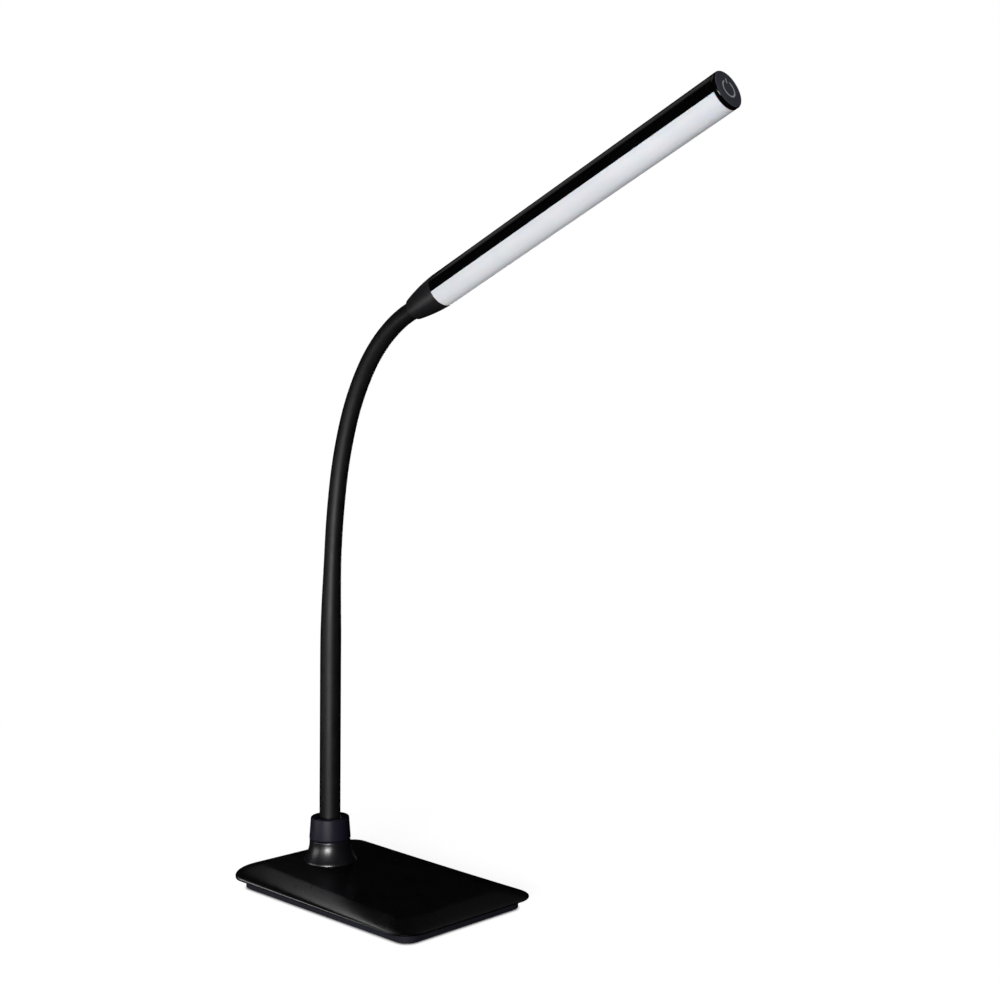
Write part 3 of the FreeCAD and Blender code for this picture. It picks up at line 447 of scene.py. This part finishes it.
def outline(back, front, side, corner):
    """Points around a rounded rectangle, seen from above and counter-clockwise."""
    centres = ((front - corner, side - corner), (back + corner, side - corner),
               (back + corner, corner - side), (front - corner, corner - side))
    arcs = []
    for quarter, (x, y) in enumerate(centres):
        turns = [math.radians(90 * (quarter + k / CORNER_STEPS)) for k in range(CORNER_STEPS + 1)]
        arcs.append([(x + corner * math.cos(t), y + corner * math.sin(t)) for t in turns])
    points = []
    for arc, following in zip(arcs, arcs[1:] + arcs[:1]):
        start, end = arc[-1], following[0]
        run = [tuple(a + (b - a) * k / SIDE_SPANS for a, b in zip(start, end))
               for k in range(1, SIDE_SPANS)]
        points += arc + run
    return points


def lip_ring(inset, rise):
    """A level ring of the cover's lip."""
    points = outline(inset - HALF_LENGTH, HALF_LENGTH - inset, HALF_WIDTH - inset,
                     RIM_CORNER - inset)
    return [(x, y, SEAM + rise) for x, y in points]


def shoulder(rise, width, power, soft):
    """Distance in from the rim at a share of a shoulder's rise."""
    bend = 1 - soft
    if rise <= bend:
        return width * rise ** power
    ease = 2 * soft * power * bend ** (power - 1)
    return width * (bend ** power + ease * (1 - math.sqrt(max(0.0, 1 - rise) / soft)))


def shoulder_ring(turn):
    """A ring of the rounded shoulder, from the rim at 0 to the edge of the top face at 1."""
    rise = math.sin(turn * math.pi / 2)
    points = outline(shoulder(rise, *BACK_SHOULDER) - HALF_LENGTH,
                     HALF_LENGTH - shoulder(rise, *FRONT_SHOULDER),
                     HALF_WIDTH - shoulder(rise, *SIDE_SHOULDER),
                     RIM_CORNER + (TOP_CORNER - RIM_CORNER) * rise)
    return [(x, y, RIM_TOP + rise * (cover_top(x) - RIM_TOP)) for x, y in points]


def on_boss(along, a, b):
    """A point given by its height and its place about the boss's axis."""
    return (NECK_X + a, b, along)


def curve(start, middle, end, steps):
    """Points along a smooth arc that passes through three points."""
    pull = [2 * m - (a + b) / 2 for a, m, b in zip(start, middle, end)]
    shares = [k / steps for k in range(steps + 1)]
    return [tuple((1 - t) ** 2 * a + 2 * t * (1 - t) * p + t * t * b
                  for a, p, b in zip(start, pull, end)) for t in shares]


def base():
    """The cover's outside with its lip, the flared boss, and the collar."""
    rings = [lip_ring(inset, rise) for inset, rise in LIP]
    rings += [shoulder_ring(k / SHOULDER_STEPS) for k in range(SHOULDER_STEPS + 1)]
    edge = rings[-1]
    for share in TOP_RINGS:
        rings.append([(x * share, y * share, cover_top(x * share)) for x, y, _ in edge])
    cover = skin("cover_shell", rings, "cover", end=True)
    foot = cover_top(NECK_X)
    flare = curve((foot, BOSS_FOOT_RADIUS), ((foot + BOSS_TOP) / 2, BOSS_WAIST_RADIUS),
                  (BOSS_TOP - FLARE_END, BOSS_RADIUS), FLARE_STEPS)
    profile = [(foot - BOSS_SUNK, BOSS_FOOT_RADIUS)] + flare
    profile += beside(BOSS_TOP, BOSS_RADIUS, BOSS_EDGE) + [(BOSS_TOP, BOSS_MOUTH)]
    boss = skin("cover_boss", turned(profile, on_boss), "cover")
    for part in (cover, boss):
        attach(part, "base")
        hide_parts("base_cover")
    profile = [(BOSS_TOP + COLLAR_LIFT, COLLAR_BORE)]
    profile += beside(BOSS_TOP, COLLAR_FOOT_RADIUS, COLLAR_FOOT_EDGE)
    profile += beside(COLLAR_TOP, COLLAR_RADIUS, COLLAR_TOP_EDGE)
    profile += beside(COLLAR_TOP, SLEEVE_FOOT, COLLAR_MOUTH_EDGE)
    collar = skin("collar", turned(profile, on_boss), "collar")
    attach(collar, "base")
    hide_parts("neck_collar")


base()


# Tip of the head: a gloss ring, the touch face and its symbol

CAP_EDGE = 1.1
FACE_DEPTH = 0.05
RING_TURN = 48
RING_STEP = 8
FACE_STEP = 6
FACE_RINGS = 8
RIM_EDGE = ((0.0, -0.5), (0.12, -0.12), (0.3, 0.0))
SYMBOL_RADIUS = 4.2
SYMBOL_HALF_LINE = 0.425
SYMBOL_GAP = 34.0
SYMBOL_BAR = (2.7, 5.5)
SYMBOL_RING_STEPS = 48
SYMBOL_BAR_STEPS = 4
LINE_END_TURNS = (90, 75, 55, 30)
FORWARD = Vector((math.sin(HEAD_LEAN), 0, math.cos(HEAD_LEAN)))
HEAD_UP = Vector((-math.cos(HEAD_LEAN), 0, math.sin(HEAD_LEAN)))


def in_head(along, up, side):
    """A point given in the head's own axes."""
    return MOUTH + FORWARD * along + HEAD_UP * up + Vector((0, -side, 0))


def strip(place, length, steps):
    """Points and faces of a flat line with round ends.

    place gives a point for a distance along the line and one across it.
    """
    half = SYMBOL_HALF_LINE
    caps = [half * math.sin(math.radians(turn)) for turn in LINE_END_TURNS]
    stops = [-c for c in caps] + [length * k / steps for k in range(steps + 1)]
    stops += [length + c for c in caps[::-1]]
    verts = []
    for stop in stops:
        past = max(-stop, stop - length, 0) / half
        width = half * math.sqrt(max(0.0, 1 - past * past))
        verts += [place(stop, -width), place(stop, width)]
    faces = [(2 * k, 2 * k + 2, 2 * k + 3, 2 * k + 1) for k in range(len(stops) - 1)]
    return verts, faces


def on_ring(distance, across):
    """A point of the symbol's ring."""
    turn = math.radians(SYMBOL_GAP) + distance / SYMBOL_RADIUS
    radius = SYMBOL_RADIUS + across
    return in_head(HEAD_LENGTH, radius * math.cos(turn), radius * math.sin(turn))


def on_bar(distance, across):
    """A point of the symbol's bar."""
    return in_head(HEAD_LENGTH, SYMBOL_BAR[0] + SYMBOL_HALF_LINE + distance, across)


def cap_edge(degrees):
    """A point of the cap's rounded edge: distance along the head, and radius."""
    turn = math.radians(degrees)
    along = HEAD_LENGTH - FACE_DEPTH - CAP_EDGE * (1 - math.sin(turn))
    return along, HEAD_RADIUS - CAP_EDGE * (1 - math.cos(turn))


def tip():
    """Ring, face and symbol of the cap."""
    rim = beside(TUBE_END, HEAD_RADIUS, RIM_EDGE)
    rim += [cap_edge(turn) for turn in range(0, RING_TURN + 1, RING_STEP)]
    face = [cap_edge(turn) for turn in range(RING_TURN, 90 + 1, FACE_STEP)]
    along, radius = face[-1]
    face += [(along, radius * k / FACE_RINGS) for k in range(FACE_RINGS - 1, 0, -1)]
    ring_length = SYMBOL_RADIUS * math.radians(360 - 2 * SYMBOL_GAP)
    bar_length = SYMBOL_BAR[1] - SYMBOL_BAR[0] - 2 * SYMBOL_HALF_LINE
    ring = strip(on_ring, ring_length, SYMBOL_RING_STEPS)
    bar = strip(on_bar, bar_length, SYMBOL_BAR_STEPS)
    shift = len(ring[0])
    verts = ring[0] + bar[0]
    faces = ring[1] + [tuple(v + shift for v in f) for f in bar[1]]
    parts = ((skin("cap_ring", turned(rim, in_head), "shell"), "cap", "end_cap"),
             (skin("cap_face", turned(face, in_head), "cap", end=True), "cap", "end_cap"),
             (piece("cap_symbol", verts, faces, "symbol"), "symbol", "power_symbol"))
    for part, slot, node in parts:
        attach(part, "head")
        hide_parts(node)


tip()


# Camera at the photograph's viewpoint

CAMERA_PLACE = (601.21, -515.81, 246.37)
CAMERA_AIM = (99.785, 0, 235.788)
SENSOR_WIDTH = 36
LENS = 48.262
NEAREST = 0.01

camera = bpy.data.objects.new("camera", bpy.data.cameras.new("camera"))
bpy.context.scene.collection.objects.link(camera)
bpy.context.scene.camera = camera
camera.location = Vector(CAMERA_PLACE) * MM
aim = Vector(CAMERA_AIM) * MM - camera.location
camera.rotation_euler = aim.to_track_quat("-Z", "Y").to_euler()
camera.data.sensor_width = SENSOR_WIDTH
camera.data.lens = LENS
camera.data.clip_start = NEAREST


# Floor and background

BACKDROP_RAYS = ("Is Camera Ray", "Is Glossy Ray", "Is Transmission Ray")
WHITE = (1, 1, 1, 1)
AMBIENT = 0.012
FLOOR_CORNERS = ((-6, -6, 0), (6, -6, 0), (6, 6, 0), (-6, 6, 0))
FLOOR_TONE = (0.80, 0.80, 0.80, 1)
FLOOR_ROUGHNESS = 0.9
FLOOR_SHINE = 0.1
FLOOR_GLOW = 0.9
# Reach in millimetres and samples of a painted contact shadow: ambient occlusion darkens the
# floor's glow next to the object
CONTACT_SHADOW = 2.0
CONTACT_SAMPLES = 4

# Distances from the base's middle between which the floor turns white
FADE_START = 0.25
FADE_END = 0.7


def ray_mix(tree, kinds):
    """1 where the ray is of one of the kinds."""
    path = tree.nodes.new("ShaderNodeLightPath")
    value = path.outputs[kinds[0]]
    for kind in kinds[1:]:
        most = tree.nodes.new("ShaderNodeMath")
        most.operation = "MAXIMUM"
        tree.links.new(value, most.inputs[0])
        tree.links.new(path.outputs[kind], most.inputs[1])
        value = most.outputs[0]
    return value


def multiply(tree, a, b):
    """The product of two values in a node tree."""
    node = tree.nodes.new("ShaderNodeMath")
    node.operation = "MULTIPLY"
    for socket, value in zip(node.inputs, (a, b)):
        if isinstance(value, float):
            socket.default_value = value
        else:
            tree.links.new(value, socket)
    return node.outputs[0]


def floor():
    """A wide pale floor that keeps the object's shadow and turns white away from it; its glow is
    darkened by ambient occlusion next to the object, a painted contact shadow.
    """
    mesh = bpy.data.meshes.new("floor")
    mesh.from_pydata(FLOOR_CORNERS, [], [(0, 1, 2, 3)])
    obj = bpy.data.objects.new("floor", mesh)
    bpy.context.scene.collection.objects.link(obj)
    mat, tree, shader = new_material("pale_floor")
    shader.inputs["Base Color"].default_value = FLOOR_TONE
    shader.inputs["Roughness"].default_value = FLOOR_ROUGHNESS
    shader.inputs["Specular IOR Level"].default_value = FLOOR_SHINE
    seen = ray_mix(tree, BACKDROP_RAYS)
    glow = tree.nodes.new("ShaderNodeEmission")
    # Painted contact shadow: the glow is darkened by ambient occlusion next to the object
    painted_shadow_ao = tree.nodes.new("ShaderNodeAmbientOcclusion")
    painted_shadow_ao.samples = CONTACT_SAMPLES
    painted_shadow_ao.inputs["Distance"].default_value = CONTACT_SHADOW * MM
    level = multiply(tree, multiply(tree, seen, FLOOR_GLOW), painted_shadow_ao.outputs["AO"])
    tree.links.new(level, glow.inputs["Strength"])
    near = tree.nodes.new("ShaderNodeAddShader")
    tree.links.new(shader.outputs[0], near.inputs[0])
    tree.links.new(glow.outputs[0], near.inputs[1])
    place = tree.nodes.new("ShaderNodeTexCoord")
    length = tree.nodes.new("ShaderNodeVectorMath")
    length.operation = "LENGTH"
    tree.links.new(place.outputs["Object"], length.inputs[0])
    fade = tree.nodes.new("ShaderNodeMapRange")
    fade.inputs["From Min"].default_value = FADE_START
    fade.inputs["From Max"].default_value = FADE_END
    tree.links.new(length.outputs["Value"], fade.inputs["Value"])
    far = tree.nodes.new("ShaderNodeEmission")
    both = tree.nodes.new("ShaderNodeMixShader")
    tree.links.new(multiply(tree, fade.outputs["Result"], seen), both.inputs["Fac"])
    tree.links.new(near.outputs[0], both.inputs[1])
    tree.links.new(far.outputs[0], both.inputs[2])
    tree.links.new(both.outputs[0], tree.nodes["Material Output"].inputs["Surface"])
    obj.data.materials.append(mat)


def world():
    """White background, with a soft plain level of light on the object."""
    scene_world = bpy.data.worlds.new("studio")
    bpy.context.scene.world = scene_world
    scene_world.use_nodes = True
    tree = scene_world.node_tree
    light = tree.nodes["Background"]
    light.inputs["Color"].default_value = WHITE
    light.inputs["Strength"].default_value = AMBIENT
    white = tree.nodes.new("ShaderNodeBackground")
    white.inputs["Color"].default_value = WHITE
    mix = tree.nodes.new("ShaderNodeMixShader")
    tree.links.new(ray_mix(tree, BACKDROP_RAYS), mix.inputs["Fac"])
    tree.links.new(light.outputs[0], mix.inputs[1])
    tree.links.new(white.outputs[0], mix.inputs[2])
    tree.links.new(mix.outputs[0], tree.nodes["World Output"].inputs["Surface"])


floor()
world()


# Lamps: low and soft, most of them kept to some parts, as flags beside a set do

ALL_PARTS = [obj.name for obj in bpy.context.scene.objects if obj.type == "MESH"]
BESIDE_COVER = [name for name in ALL_PARTS if name != "cover_shell"]
BACK_PARTS = [name for name in BESIDE_COVER if name not in ("collar", "floor", "head_connector")]
NECK_PARTS = [name for name in ALL_PARTS if name.startswith("sleeve")] + ["head_connector"]
BASE_PARTS = ["cover_shell", "cover_boss", "collar", "base_plinth"]
HEAD_PARTS = ["head_shell", "cap_ring", "head_connector"]

# Name, place, target and size in metres, power in watts, and the parts that it lights
LAMPS = (
    ("key_right", (1.06, -1.45, 0.27), (0.03, 0, 0.15), (0.9, 0.5), 22, BESIDE_COVER),
    ("key_middle", (0.45, -1.74, 0.27), (0.03, 0, 0.15), (1.0, 0.5), 5, BESIDE_COVER),
    ("cover_key", (1.06, -1.45, 0.27), (0.03, 0, 0.01), (0.9, 0.5), 4, ["cover_shell"]),
    ("key_left", (-0.87, -1.56, 0.27), (0.03, 0, 0.15), (1.0, 0.5), 8, BASE_PARTS),
    ("boss_light", (1.15, -1.38, 0.20), (-0.045, 0, 0.02), (0.8, 0.3), 24,
     ["cover_boss", "head_connector"]),
    ("low_light", (0.35, -0.62, 0.06), (0.14, 0, 0.36), (0.6, 0.1), 2.2, ["diffuser"]),
    ("glint_light", (-0.35, -0.45, 0.01), (-0.35, -0.45, 1.0), (0.4, 0.3), 0.7, NECK_PARTS),
    ("floor_light", (0.15, -0.1, 0.003), (0.15, -0.1, 1.0), (1.0, 1.0), 1.5, ["diffuser"]),
    ("rim_light", (-1.30, -1.25, 0.15), (0.03, 0, 0.01), (0.8, 0.3), 7, ["cover_shell"]),
    ("shoulder_light", (-0.21, 0.03, 0.26), (0.06, -0.04, 0.01), (0.13, 0.07), 0.10,
     ["cover_shell"]),
    ("front_light", (-0.22, 0.47, 0.44), (0.07, 0, 0.01), (0.22, 0.12), 0.022, ["cover_shell"]),
    ("edge_light", (-1.30, 0.10, 1.60), (0.03, 0, 0.02), (1.0, 0.8), 0.6, HEAD_PARTS),
    ("back_light", (-1.3, 1.15, 0.25), (0.0, 0, 0.15), (0.9, 0.5), 8, None),
    ("back_gloss", (-1.25, 1.20, 0.25), (0.0, 0, 0.2), (1.0, 0.5), 13, BACK_PARTS),
)

# Black cards around the set, above it and just over the floor
TENT = ((-2.4, 2.4), (2.4, 2.4), (2.4, -2.4), (-2.4, -2.4))
TENT_HEIGHT = 3.4
CARD_LIFT = 0.0002
CARD_TONE = (0.004, 0.004, 0.005, 1)


def softbox(name, place, target, size, power):
    """A rectangular area lamp that faces a point."""
    data = bpy.data.lights.new(name, "AREA")
    data.shape = "RECTANGLE"
    data.size, data.size_y = size
    data.energy = power
    obj = bpy.data.objects.new(name, data)
    bpy.context.scene.collection.objects.link(obj)
    obj.location = place
    obj.rotation_euler = (Vector(target) - Vector(place)).to_track_quat("-Z", "Y").to_euler()
    obj.visible_camera = False
    return obj


def light_only(lamp, parts):
    """Keep a lamp's light to some parts."""
    lit = bpy.data.collections.new(lamp.name)
    for part in parts:
        lit.objects.link(bpy.data.objects[part])
    lamp.light_linking.receiver_collection = lit


def black_card(name, corners):
    """A black card beside the set: only glossy reflections see it."""
    mesh = bpy.data.meshes.new(name)
    mesh.from_pydata(corners, [], [(0, 1, 2, 3)])
    obj = bpy.data.objects.new(name, mesh)
    bpy.context.scene.collection.objects.link(obj)
    mat, _, shader = new_material(name)
    shader.inputs["Base Color"].default_value = CARD_TONE
    shader.inputs["Roughness"].default_value = 1.0
    shader.inputs["Specular IOR Level"].default_value = 0.0
    obj.data.materials.append(mat)
    obj.visible_camera = False
    obj.visible_diffuse = False
    obj.visible_transmission = False
    obj.visible_shadow = False


for name, place, target, size, power, parts in LAMPS:
    lamp = softbox(name, place, target, size, power)
    if parts:
        light_only(lamp, parts)
    else:
        lamp.visible_glossy = False
for number, (a, b) in enumerate(zip(TENT, TENT[1:] + TENT[:1])):
    black_card("card_%d" % number, [(*a, 0.0), (*b, 0.0), (*b, TENT_HEIGHT), (*a, TENT_HEIGHT)])
black_card("card_floor", [(*corner, CARD_LIFT) for corner in TENT])
black_card("card_top", [(*corner, TENT_HEIGHT) for corner in TENT])

bpy.context.scene.view_settings.view_transform = "Standard"
